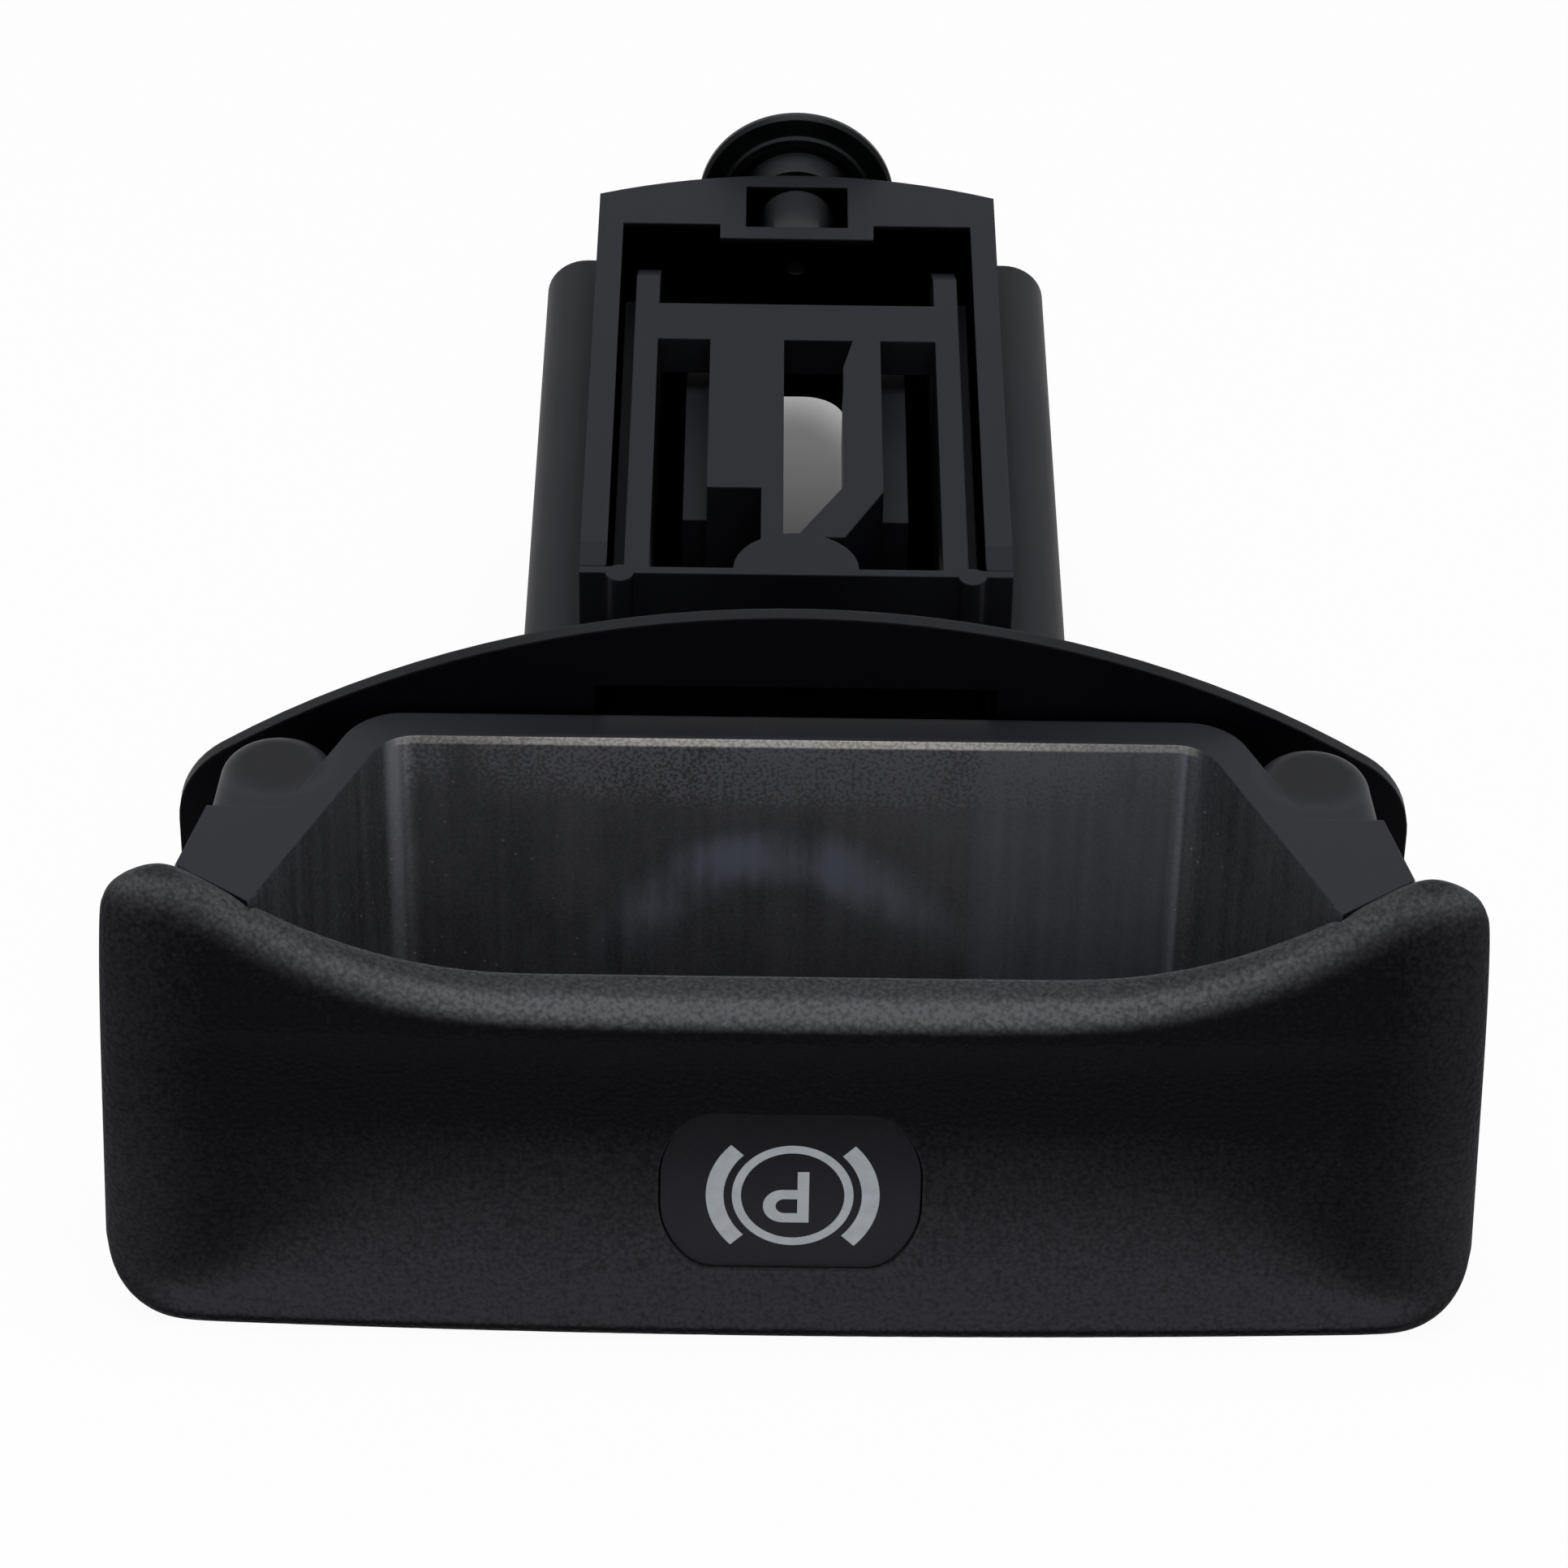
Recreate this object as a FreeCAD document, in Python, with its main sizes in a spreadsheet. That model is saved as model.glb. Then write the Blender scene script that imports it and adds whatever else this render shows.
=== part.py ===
import FreeCAD, Part
import math
import os
import Sketcher

# Release handle of a parking brake, lying as it is seen: the finger pocket opens upward (+Z),
# the grip faces -Y and the guide and its cable collar run back along +Y. X is the width and the
# handle is symmetric about X = 0, apart from the cable hook of the slide. Millimetres.
# The origin is under the middle of the overall length, on the plane that the grip stands on.

# Driving sizes: name, value, meaning. "From the seat" means along Y from the flange's front face.
SIZES = (
    ("grip_width", 100.0, "grip over its lower corners"),
    ("grip_draft", 1.5, "how much each side leans in towards the ears"),
    ("grip_reach", 28.6, "grip front ahead of the seat"),
    ("grip_crown", 1.2, "how far the front bows out between its sides"),
    ("grip_corner", 6.0, "rounding of the two lower corners"),
    ("ear_height", 39.4, "top of the ears at the ends of the lip"),
    ("ear_half", 45.0, "half distance between the ear tops"),
    ("ear_corner", 3.5, "rounding of the ears' outer corners"),
    ("ear_depth", 8.0, "ears from front to back"),
    ("lip_height", 31.4, "top of the lip in the middle"),
    ("lip_flat", 20.0, "half width of the level part of the lip"),
    ("lip_depth", 5.7, "lip from front to back in the middle"),
    ("lip_radius", 2.4, "rounding of the lip and the ears at their rear"),
    ("lip_crown", 3.0, "height over which the lip rolls forward"),
    ("ear_crown", 11.0, "height over which the ears roll forward"),
    ("scoop_depth", 2.9, "hollow of the front below the lip"),
    ("scoop_height", 24.0, "height where the hollow is deepest"),
    ("scoop_cheek", 19.0, "width of the slanted cheeks of the hollow"),
    ("scoop_margin", 2.0, "rim left beside the hollow"),
    ("toe_radius", 1.5, "rounding of the grip's lower front edge"),
    ("side_round", 2.2, "how far the front falls back at the sides"),
    ("scoop_brow", 4.5, "height over which the hollow runs out under the lip"),
    ("cover_gap", 0.15, "clearance between grip cover and pocket shell"),
    ("badge_width", 18.75, "symbol plate across"),
    ("badge_height", 13.55, "symbol plate up"),
    ("badge_flat", 12.9, "straight part of the plate's long edges"),
    ("badge_side", 2.0, "straight part of the plate's short edges"),
    ("badge_bow", 6.8, "radius of the plate's bowed corners"),
    ("badge_round", 3.0, "rounding where those corners meet the long edges"),
    ("badge_tilt", 5.6, "lean of the plate, in degrees"),
    ("badge_centre", 12.95, "height of the plate's centre"),
    ("badge_thick", 1.2, "symbol plate thickness"),
    ("badge_sink", 0.2, "plate below the grained surface"),
    ("badge_gap", 0.15, "seam around the plate"),
    ("wing_height", 36.5, "level of the pocket's rim and wings"),
    ("shell_base", 1.6, "underside of the pocket shell"),
    ("shell_front_half", 44.8, "half width of the shell inside the cover"),
    ("shell_front", 23.8, "front of the shell ahead of the seat"),
    ("shell_wall", 2.8, "side and rear walls of the pocket"),
    ("shell_front_wall", 1.6, "front wall of the pocket"),
    ("rim_side", 3.05, "pocket rim across, at its slanted sides"),
    ("shell_floor", 2.4, "floor of the pocket"),
    ("pocket_side", 7.0, "pocket's front corner inside the shell's side"),
    ("pocket_taper", 8.1, "how much each side of the pocket closes in to the rear"),
    ("pocket_corner", 3.3, "rounding of the pocket's rear corners"),
    ("rest_gap", 0.7, "handle to flange when the handle is home"),
    ("wing_taper", 2.7, "how much each wing closes in to its rear edge"),
    ("wing_rear", 12.2, "rear edge of the wings ahead of the seat"),
    ("seam_inset", 1.2, "outer end of the cover's seam inside the shell's side"),
    ("seam_rear", 19.2, "outer end of that seam ahead of the seat"),
    ("seam_width", 5.3, "that seam across, from its outer to its inner end"),
    ("seam_front", 23.2, "inner end of that seam ahead of the seat"),
    ("brow_slope", 13.3, "slanted top of the shell's front, across"),
    ("brow_height", 28.0, "top of the shell's front under the lip"),
    ("brow_rise", 33.9, "top of the shell's front under the ears"),
    ("post_inset", 4.6, "centre of each post inside the wing's rear corner"),
    ("post_lead", 6.7, "centre of each rounded post ahead of the seat"),
    ("post_radius", 4.2, "radius of each rounded post"),
    ("post_round", 1.7, "rounding of the top of each post"),
    ("post_drop", 0.25, "top of the post below the wing"),
    ("neck_half", 14.0, "half width of the neck"),
    ("neck_base", 25.5, "underside of the neck and the slide"),
    ("neck_top", 29.5, "top of the neck"),
    ("neck_wall", 1.2, "wall of the hollow neck"),
    ("neck_gap", 0.25, "clearance of neck and slide in their guide"),
    ("flange_half", 45.7, "half width of the flange"),
    ("flange_height", 44.9, "top of the flange in the middle"),
    ("flange_arc", 77.0, "radius of the flange's upper edge"),
    ("flange_corner", 7.5, "rounding of the flange's corners"),
    ("flange_thick", 1.2, "flange thickness"),
    ("slot_top", 38.1, "top of the slot in the flange"),
    ("sleeve_half", 20.8, "half width of the sleeve"),
    ("sleeve_shoulder", 32.5, "level of the sleeve's shoulders"),
    ("sleeve_round", 3.4, "rounding of the sleeve's shoulders"),
    ("sleeve_wall", 2.0, "outer walls of the sleeve"),
    ("sleeve_base", 23.0, "underside of the sleeve"),
    ("chamber_top", 30.0, "roof of the hollow sides of the sleeve"),
    ("guide_half", 16.35, "half width of the guide over its rims"),
    ("guide_wall", 2.05, "walls of the guide"),
    ("guide_height", 39.0, "top of the guide's rims"),
    ("guide_front", 15.6, "front end of the rims behind the seat"),
    ("guide_rear", 69.1, "rear corners of the guide behind the seat"),
    ("guide_bulge", 3.3, "how far the rear edge bows out in the middle"),
    ("guide_chamfer", 2.5, "slanted front ends of the rims"),
    ("guide_dip", 0.5, "how far those ends slant down"),
    ("rear_wall", 4.6, "rear wall of the guide"),
    ("block_half", 6.3, "half width of the block on the rear wall"),
    ("block_depth", 2.2, "block ahead of the rear wall"),
    ("block_skirt", 1.5, "block below the barrel of the collar"),
    ("window_half", 4.2, "half width of the window over the cable sheath"),
    ("window_front", 1.8, "window behind the block's front"),
    ("window_length", 6.5, "length of the window"),
    ("window_depth", 5.5, "depth of the window"),
    ("drain_half", 4.2, "half width of the opening in the guide's floor"),
    ("drain_front", 30.0, "front of the floor opening behind the seat"),
    ("drain_rear", 63.2, "rear of the floor opening behind the seat"),
    ("drain_corner", 3.4, "rounding of the floor opening"),
    ("plate_lead", 14.7, "front of the slide's plate behind the seat"),
    ("plate_thick", 0.8, "slide's plate"),
    ("plate_half", 16.35, "half width of the slide's plate"),
    ("slide_height", 38.5, "top of the slide"),
    ("column_offset", 13.3, "columns on the plate from the middle"),
    ("column_radius", 1.05, "radius of the half-round columns"),
    ("rail_outer", 13.0, "outer faces of the slide's rails"),
    ("rail_width", 1.9, "width of the slide's rails"),
    ("rail_rear", 62.0, "rear tips of the rails behind the seat"),
    ("rail_slope", 5.0, "sloping length of the rail tips"),
    ("rail_dip", 2.5, "how far the rail tips slope down"),
    ("rail_step", 5.6, "upper, narrower part of the rails"),
    ("beam_front", 47.6, "front of the cross beam behind the seat"),
    ("beam_width", 5.3, "cross beam from front to back"),
    ("beam_depth", 3.2, "cross beam from top to bottom"),
    ("bar_depth", 7.5, "bars and hook from top to bottom"),
    ("bar_outer", 6.9, "outer face of the left bar"),
    ("bar_inner", 1.0, "cable slot's left side"),
    ("bar_notch", 26.4, "front of the left bar's wide part behind the seat"),
    ("bar_neck", 2.7, "outer face of the left bar's narrow part"),
    ("hook_outer", 6.7, "outer face of the cable hook"),
    ("hook_inner", 3.7, "cable slot's right side"),
    ("hook_wide", 4.5, "cable slot's right side at the beam"),
    ("hook_bend", 26.0, "where the hook turns towards the dome"),
    ("hook_taper", 4.0, "slanted end of the cable slot at the beam"),
    ("hook_offset", 0.8, "inner bend of the hook behind its outer one"),
    ("dome_radius", 4.74, "half-round foot of the cable hook"),
    ("web_depth", 5.0, "lower ribs beside the bars below the slide's top"),
    ("web_width", 1.9, "lower ribs beside the bars"),
    ("web_front", 29.2, "front of the lower ribs behind the seat"),
    ("strip_width", 1.0, "lower rib behind the plate"),
    ("web_rear", 51.5, "rear of the lower ribs behind the seat"),
    ("tongue_length", 8.0, "length of the tongue inside the neck"),
    ("sheath_height", 35.4, "height of the cable's axis"),
    ("sheath_radius", 3.2, "barrel of the cable collar"),
    ("sheath_bore", 1.1, "bore of the cable collar"),
    ("cone_base", 4.0, "cone of the cable collar at the guide's wall"),
    ("cone_tip", 4.7, "cone of the cable collar at its disc"),
    ("step_radius", 5.6, "raised ring on the disc's front"),
    ("step_width", 0.7, "raised ring across"),
    ("step_rise", 0.5, "raised ring ahead of the disc"),
    ("disc_radius", 8.2, "disc of the cable collar"),
    ("disc_edge", 0.3, "slanted edges of the disc"),
    ("disc_thick", 1.0, "disc of the cable collar"),
    ("collar_reach", 75.2, "rear end of the collar behind the seat"),
    ("collar_gap", 0.05, "clearance of the barrel in the rear wall"),
    ("wire_gap", 0.3, "clearance of the cable in the block's front"),
)


class Length:
    """A length that knows its value and the sheet expression that gives it."""

    def __init__(self, value, text):
        self.value = value
        self.text = text

    @staticmethod
    def of(other):
        if isinstance(other, Length):
            return other
        return Length(float(other), repr(float(other)))

    def __add__(self, other):
        other = Length.of(other)
        return Length(self.value + other.value, "(%s + %s)" % (self.text, other.text))

    def __sub__(self, other):
        other = Length.of(other)
        return Length(self.value - other.value, "(%s - %s)" % (self.text, other.text))

    def __mul__(self, other):
        other = Length.of(other)
        return Length(self.value * other.value, "(%s * %s)" % (self.text, other.text))

    def __truediv__(self, other):
        other = Length.of(other)
        return Length(self.value / other.value, "(%s / %s)" % (self.text, other.text))

    def __neg__(self):
        return Length(-self.value, "(0 - %s)" % self.text)

    def root(self):
        return Length(math.sqrt(self.value), "sqrt(%s)" % self.text)


document = FreeCAD.newDocument("ReleaseHandle")
sheet = document.addObject("Spreadsheet::Sheet", "Sizes")
for row, (alias, number, meaning) in enumerate(SIZES, start=1):
    sheet.set("A%d" % row, alias)
    sheet.set("B%d" % row, str(number))
    sheet.set("C%d" % row, meaning)
    sheet.setAlias("B%d" % row, alias)
document.recompute()


def size(alias):
    """The sheet's value of one name, with its expression."""
    return Length(float(sheet.get(alias)), "Sizes." + alias)


ZERO = Length.of(0)
SEAT = (size("grip_reach") - size("collar_reach")) / 2


def behind(distance):
    """Y of a plane that lies this far behind the flange's front face."""
    return SEAT + distance


# Sketches and features, every corner and length bound to the sheet

def start_body(name):
    body = document.addObject("PartDesign::Body", name)
    body.Label = name
    return body


def plane_of(body, role):
    return next(part for part in body.Origin.OriginFeatures if part.Role == role)


def new_sketch(body, name, role, offset):
    """An empty sketch on one of the body's origin planes, moved along that plane's normal."""
    sketch = body.newObject("Sketcher::SketchObject", name)
    sketch.AttachmentSupport = [(plane_of(body, role), "")]
    sketch.MapMode = "FlatFace"
    sketch.setExpression("AttachmentOffset.Base.z", offset.text)
    return sketch


def draw_outline(sketch, corners):
    """A closed outline whose corners are pairs of lengths, in counter-clockwise order.

    A third length makes the edge that leaves the corner an arc of that radius, bowing outward.
    """
    count = len(corners)
    for index, corner in enumerate(corners):
        following = corners[(index + 1) % count]
        start = FreeCAD.Vector(corner[0].value, corner[1].value, 0)
        end = FreeCAD.Vector(following[0].value, following[1].value, 0)
        if len(corner) == 3:
            across = FreeCAD.Vector(start.y - end.y, end.x - start.x, 0).normalize()
            radius = corner[2].value
            sagitta = radius - math.sqrt(radius ** 2 - ((end - start).Length / 2) ** 2)
            arc = Part.Arc(start, (start + end) / 2 - across * sagitta, end)
            sketch.addGeometry(arc, False)
        else:
            sketch.addGeometry(Part.LineSegment(start, end), False)
    for index in range(count):
        sketch.addConstraint(Sketcher.Constraint("Coincident", index, 2, (index + 1) % count, 1))
    for index, corner in enumerate(corners):
        limits = [("DistanceX", corner[0]), ("DistanceY", corner[1])]
        for kind, length in limits:
            limit = Sketcher.Constraint(kind, -1, 1, index, 1, length.value)
            number = sketch.addConstraint(limit)
            sketch.setExpression("Constraints[%d]" % number, length.text)
        if len(corner) == 3:
            number = sketch.addConstraint(Sketcher.Constraint("Radius", index, corner[2].value))
            sketch.setExpression("Constraints[%d]" % number, corner[2].text)


def draw_circle(sketch, centre_x, centre_y, radius):
    centre = FreeCAD.Vector(centre_x.value, centre_y.value, 0)
    geometry = sketch.addGeometry(Part.Circle(centre, FreeCAD.Vector(0, 0, 1), radius.value), False)
    limits = (
        (Sketcher.Constraint("DistanceX", -1, 1, geometry, 3, centre_x.value), centre_x),
        (Sketcher.Constraint("DistanceY", -1, 1, geometry, 3, centre_y.value), centre_y),
        (Sketcher.Constraint("Radius", geometry, radius.value), radius),
    )
    for limit, length in limits:
        number = sketch.addConstraint(limit)
        sketch.setExpression("Constraints[%d]" % number, length.text)


def add_feature(body, kind, name, sketch, length, reverse):
    feature = body.newObject("PartDesign::" + kind, name)
    feature.Profile = sketch
    feature.setExpression("Length", length.text)
    feature.Reversed = reverse
    document.recompute()
    return feature


def raise_outline(body, name, bottom, top, corners):
    """Adds a plan outline (X, Y) between two levels."""
    sketch = new_sketch(body, name + "_plan", "XY_Plane", bottom)
    draw_outline(sketch, corners)
    return add_feature(body, "Pad", name, sketch, top - bottom, False)


def sink_outline(body, name, bottom, top, corners):
    """Cuts a plan outline (X, Y) between two levels."""
    sketch = new_sketch(body, name + "_plan", "XY_Plane", top)
    draw_outline(sketch, corners)
    return add_feature(body, "Pocket", name, sketch, top - bottom, False)


def push_outline(body, name, front, back, corners):
    """Adds a front outline (X, Z) between two Y stations."""
    sketch = new_sketch(body, name + "_front", "XZ_Plane", -front)
    draw_outline(sketch, corners)
    return add_feature(body, "Pad", name, sketch, back - front, True)


def bore_outline(body, name, front, back, corners):
    """Cuts a front outline (X, Z) between two Y stations."""
    sketch = new_sketch(body, name + "_front", "XZ_Plane", -front)
    draw_outline(sketch, corners)
    return add_feature(body, "Pocket", name, sketch, back - front, False)


def rectangle(left, right, low, high):
    return [(left, low), (right, low), (right, high), (left, high)]


def mirrored(points):
    """The right-hand corners, then the same ones on the left in the opposite order, arcs too."""
    left = []
    for index in reversed(range(len(points))):
        bow = points[index - 1][2:] if index else ()
        left.append((-points[index][0], points[index][1]) + tuple(bow))
    return points + left


def round_edges(body, name, base, radius, wanted):
    """Rounds the edges of a feature whose middle point passes the test."""
    names = []
    for number, edge in enumerate(base.Shape.Edges, start=1):
        middle = edge.valueAt((edge.FirstParameter + edge.LastParameter) / 2)
        ends = edge.valueAt(edge.LastParameter) - edge.valueAt(edge.FirstParameter)
        if wanted(middle, ends):
            names.append("Edge%d" % number)
    fillet = body.newObject("PartDesign::Fillet", name)
    fillet.Base = (base, names)
    fillet.setExpression("Radius", radius.text)
    document.recompute()
    return fillet


def is_upright(ends):
    return ends.Length > 0.5 and abs(ends.z) > 0.999 * ends.Length


def is_fore_and_aft(ends):
    return ends.Length > 0.5 and abs(ends.y) > 0.999 * ends.Length


def near(value, length, reach=0.2):
    return abs(value - length.value) < reach


# Grip cover: the grained moulding that is pulled, with its lip, ears and scooped front

GRIP_FRONT = behind(-size("grip_reach"))


def between(low, high, share):
    return low + (high - low) * share


def lip_share(across):
    """How far a place is from the level middle of the lip (0) to its ears (1), as a parabola."""
    flat = size("lip_flat").value
    share = (abs(across) - flat) / (size("ear_half").value - flat)
    return min(max(share, 0.0), 1.0) ** 2


def soft_least(values, sharpness=5.0):
    """A smooth stand-in for min() of positive numbers."""
    total = sum(max(value, 0.001) ** -sharpness for value in values)
    return total ** (-1 / sharpness)


def scoop(across, level, lip_front):
    """Depth of the hollow in the front: bounded by its dished floor, its cheeks and the lip's brow."""
    rise = min(level / size("scoop_height").value, 1.0)
    floor = 1 - (1 - rise) ** 2
    side = size("grip_width").value / 2 - size("scoop_margin").value - abs(across)
    cheek = side / size("scoop_cheek").value
    brow = (lip_front - level) / size("scoop_brow").value
    return size("scoop_depth").value * soft_least((floor, cheek, brow, 1.0))


def arc_points(centre_y, centre_z, deep, tall, first, last, steps):
    """Points of an ellipse in the YZ plane; angles in degrees from +Y towards +Z."""
    points = []
    for step in range(steps + 1):
        angle = math.radians(between(first, last, step / steps))
        points.append((centre_y + deep * math.cos(angle), centre_z + tall * math.sin(angle)))
    return points


def grip_section(across, turn):
    """The grip's outer line at one place across, from the lower rear edge round to the lip's rear.

    turn runs from 0 where the corners begin to 90 degrees at the end face, so that the lower
    corners and the ears are rounded by cosines.
    """
    fall = 1 - math.cos(math.radians(turn))
    half = size("grip_width").value / 2
    low = size("grip_corner").value * fall
    share = lip_share(across)
    high = between(size("lip_height").value, size("ear_height").value, share)
    high -= size("ear_corner").value * fall
    front = GRIP_FRONT.value + size("grip_crown").value * (across / half) ** 2
    front += size("side_round").value * fall
    rear = GRIP_FRONT.value + size("ear_depth").value
    lip_rear = GRIP_FRONT.value + between(size("lip_depth").value, size("ear_depth").value, share)
    radius = size("lip_radius").value
    crown = between(size("lip_crown").value, size("ear_crown").value, share)
    toe = size("toe_radius").value
    lip_front = high - crown
    points = [(between(rear, front + toe, step / 3), low) for step in range(3)]
    points += arc_points(front + toe, low + toe, toe, toe, 270, 180, 3)
    rows = 14
    for row in range(1, rows):
        level = between(low + toe, lip_front, row / rows)
        points.append((front + scoop(across, level, lip_front), level))
    crest = lip_rear - radius
    points += arc_points(crest, lip_front, crest - front, crown, 180, 90, 5)
    points += arc_points(crest, high - radius, radius, radius, 90, 0, 4)[1:]
    points.append((lip_rear, high - radius * 2))
    lean = size("grip_draft").value * across / half
    full = size("ear_height").value
    return [FreeCAD.Vector(across - lean * z / full, y, z) for y, z in points]


def grip_stations():
    """Places across the grip: evenly over the middle, then closer around each end."""
    corner = size("grip_corner").value
    inner = size("grip_width").value / 2 - corner
    steps = 26
    stations = [(between(-inner, inner, step / steps), 0.0) for step in range(steps + 1)]
    ends = [(inner + corner * math.sin(math.radians(turn)), turn) for turn in (18, 36, 54, 72, 90)]
    return [(-across, turn) for across, turn in reversed(ends)] + stations + ends


def even_knots(poles, degree):
    """Knots and multiplicities of a clamped, evenly spaced B-spline."""
    spans = poles - degree
    return list(range(spans + 1)), [degree + 1] + [1] * (spans - 1) + [degree + 1]


def smooth_surface(grid, degree=3):
    """A B-spline surface that follows a grid of points without waves."""
    across_knots, across_mults = even_knots(len(grid), degree)
    along_knots, along_mults = even_knots(len(grid[0]), degree)
    surface = Part.BSplineSurface()
    surface.buildFromPolesMultsKnots(grid, across_mults, along_mults, across_knots, along_knots,
                                     False, False, degree, degree)
    return surface


def build_grip_body():
    """The grip's outer form, still filled: a lofted skin, its rear and two end faces."""
    grid = [grip_section(across, turn) for across, turn in grip_stations()]
    surface = smooth_surface(grid)
    first, last, lower, upper = surface.bounds()
    rear = Part.makeRuledSurface(surface.vIso(lower).toShape(), surface.vIso(upper).toShape())
    ends = []
    for limit in (first, last):
        side = surface.uIso(limit)
        closing = Part.makeLine(side.value(side.LastParameter), side.value(side.FirstParameter))
        ends.append(Part.Face(Part.Wire([side.toShape(), closing])))
    shell = Part.makeShell([surface.toShape(), rear] + ends)
    shell.sewShape()
    return Part.makeSolid(shell)


grip = build_grip_body()


# Symbol plate: a smooth tablet let into the front, leaning with the scooped surface

def badge_corners(grow):
    """The eight corners of the plate about its own centre (X, Z), its four bowed corners as arcs."""
    half = size("badge_width") / 2 + grow
    flat = size("badge_flat") / 2 + grow / 2
    high = size("badge_height") / 2 + grow
    side = size("badge_side") / 2 + grow / 2
    bow = size("badge_bow") + grow
    return mirrored([(flat, -high, bow), (half, -side), (half, side, bow), (flat, high)])


def badge_depth():
    """How far the plate's front lies behind the grip's foremost plane."""
    level = size("badge_centre").value
    hollow = scoop(0.0, level, size("lip_height").value - size("lip_crown").value)
    return hollow + size("badge_sink").value


def build_badge(name, grow, front, back):
    body = start_body(name)
    pad = push_outline(body, "tablet", front, back, badge_corners(grow))
    level = size("badge_height") / 2 + grow
    round_edges(body, "tablet_corners", pad, size("badge_round"), lambda middle, ends:
                is_fore_and_aft(ends) and near(abs(middle.z), level))
    lean = FreeCAD.Rotation(FreeCAD.Vector(1, 0, 0), -size("badge_tilt").value)
    place = FreeCAD.Vector(0, GRIP_FRONT.value + badge_depth(), size("badge_centre").value)
    body.Placement = FreeCAD.Placement(place, lean)
    return body


badge = build_badge("symbol_plate", ZERO, ZERO, size("badge_thick"))
badge_recess = build_badge("badge_recess", size("badge_gap"), -size("scoop_depth"),
                           size("badge_thick") + size("badge_gap"))


# Pocket shell: the smooth moulding behind the grip, with finger pocket, wings, posts and neck

WING_HALF = size("shell_front_half") - size("wing_taper")
SEAM_OUTER = size("shell_front_half") - size("seam_inset")
SEAM_INNER = SEAM_OUTER - size("seam_width")
POST_MIDDLE = WING_HALF - size("post_inset")
POCKET_FRONT_HALF = size("shell_front_half") - size("pocket_side")
POCKET_REAR_HALF = POCKET_FRONT_HALF - size("pocket_taper")


def inner_half(distance):
    """Half width of the pocket at a distance ahead of the seat."""
    front = size("shell_front") - size("shell_front_wall")
    rear = size("rest_gap") + size("shell_wall")
    slope = size("pocket_taper") / (front - rear)
    return POCKET_REAR_HALF + slope * (distance - rear)


def frame_corners(grow):
    """The shell's front seen from ahead (X, Z), low in the middle to pass under the lip."""
    half = size("shell_front_half") + grow
    base = size("shell_base") - grow
    high = size("brow_rise") + grow
    low_half = SEAM_INNER - size("brow_slope")
    return mirrored([(half, base), (half, high), (SEAM_INNER, high), (low_half, size("brow_height") + grow)])


def nose_corners(side, grow):
    """One wing's front point in plan, bounded by the seam with the grip cover."""
    inside = inner_half(size("seam_rear")) - 1 - grow
    points = [(SEAM_INNER - grow, -size("seam_front") - grow * 2),
              (SEAM_OUTER + grow, -size("seam_rear") - grow),
              (WING_HALF + grow, -size("wing_rear")),
              (inside, -size("wing_rear")),
              (inside, -size("seam_rear"))]
    return [(across * side, behind(along)) for across, along in points]


def post_corners(side):
    """One post in plan: a round end that runs out straight to the wing's rear edge."""
    wing = behind(-size("wing_rear"))
    middle = behind(-size("post_lead"))
    radius = size("post_radius")
    outer = POST_MIDDLE + radius
    inner = POST_MIDDLE - radius
    if side > 0:
        return [(WING_HALF, wing), (outer, middle, radius), (POST_MIDDLE, middle + radius, radius),
                (inner, middle), (inner, wing)]
    return [(-inner, wing), (-inner, middle, radius), (-POST_MIDDLE, middle + radius, radius),
            (-outer, middle), (-WING_HALF, wing)]


def build_shell():
    body = start_body("pocket_shell")
    base = size("shell_base")
    top = size("wing_height")
    wing = behind(-size("wing_rear"))
    push_outline(body, "front_frame", behind(-size("shell_front")), behind(-size("seam_rear")),
                 frame_corners(ZERO))
    side = size("wing_taper") / (size("shell_front") - size("wing_rear"))
    shoulder = WING_HALF + side * (size("seam_rear") - size("wing_rear"))
    rear = size("rest_gap")
    rim = inner_half(rear) + size("rim_side")
    plan = [(shoulder, behind(-size("seam_rear"))), (WING_HALF, wing),
            (inner_half(size("wing_rear")) + size("rim_side"), wing), (rim, behind(-rear))]
    block = raise_outline(body, "wings_and_rim", base, top, mirrored(plan))
    corner = size("pocket_corner") + size("shell_wall") / 2
    round_edges(body, "rim_corners", block, corner, lambda middle, ends: is_upright(ends)
                and near(abs(middle.x), rim) and near(middle.y, behind(-rear)))
    crown = top - size("post_drop")
    for name, sign in (("left", -1), ("right", 1)):
        raise_outline(body, name + "_nose", size("brow_height"), top, nose_corners(sign, ZERO))
        post = raise_outline(body, name + "_post", base, crown, post_corners(sign))
        round_edges(body, name + "_post_top", post, size("post_round"), lambda middle, ends:
                    near(middle.z, crown, 0.01) and middle.y > wing.value + 0.5
                    and middle.x * sign > (POST_MIDDLE - size("post_radius") / 2).value)
    front = behind(size("shell_front_wall") - size("shell_front"))
    back = behind(-rear - size("shell_wall"))
    hollow = [(POCKET_FRONT_HALF, front), (POCKET_REAR_HALF, back)]
    pocket = sink_outline(body, "finger_pocket", base + size("shell_floor"), top + 5, mirrored(hollow))
    round_edges(body, "pocket_corners", pocket, size("pocket_corner"), lambda middle, ends:
                is_upright(ends) and near(abs(middle.x), POCKET_REAR_HALF) and near(middle.y, back))
    half = size("neck_half")
    low = size("neck_base")
    high = size("neck_top")
    wall = size("neck_wall")
    end = behind(size("plate_lead"))
    push_outline(body, "neck", back, end, rectangle(-half, half, low, high))
    bore_outline(body, "neck_bore", behind(ZERO), end,
                 rectangle(wall - half, half - wall, low + wall, high - wall))
    return body


shell = build_shell()


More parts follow.
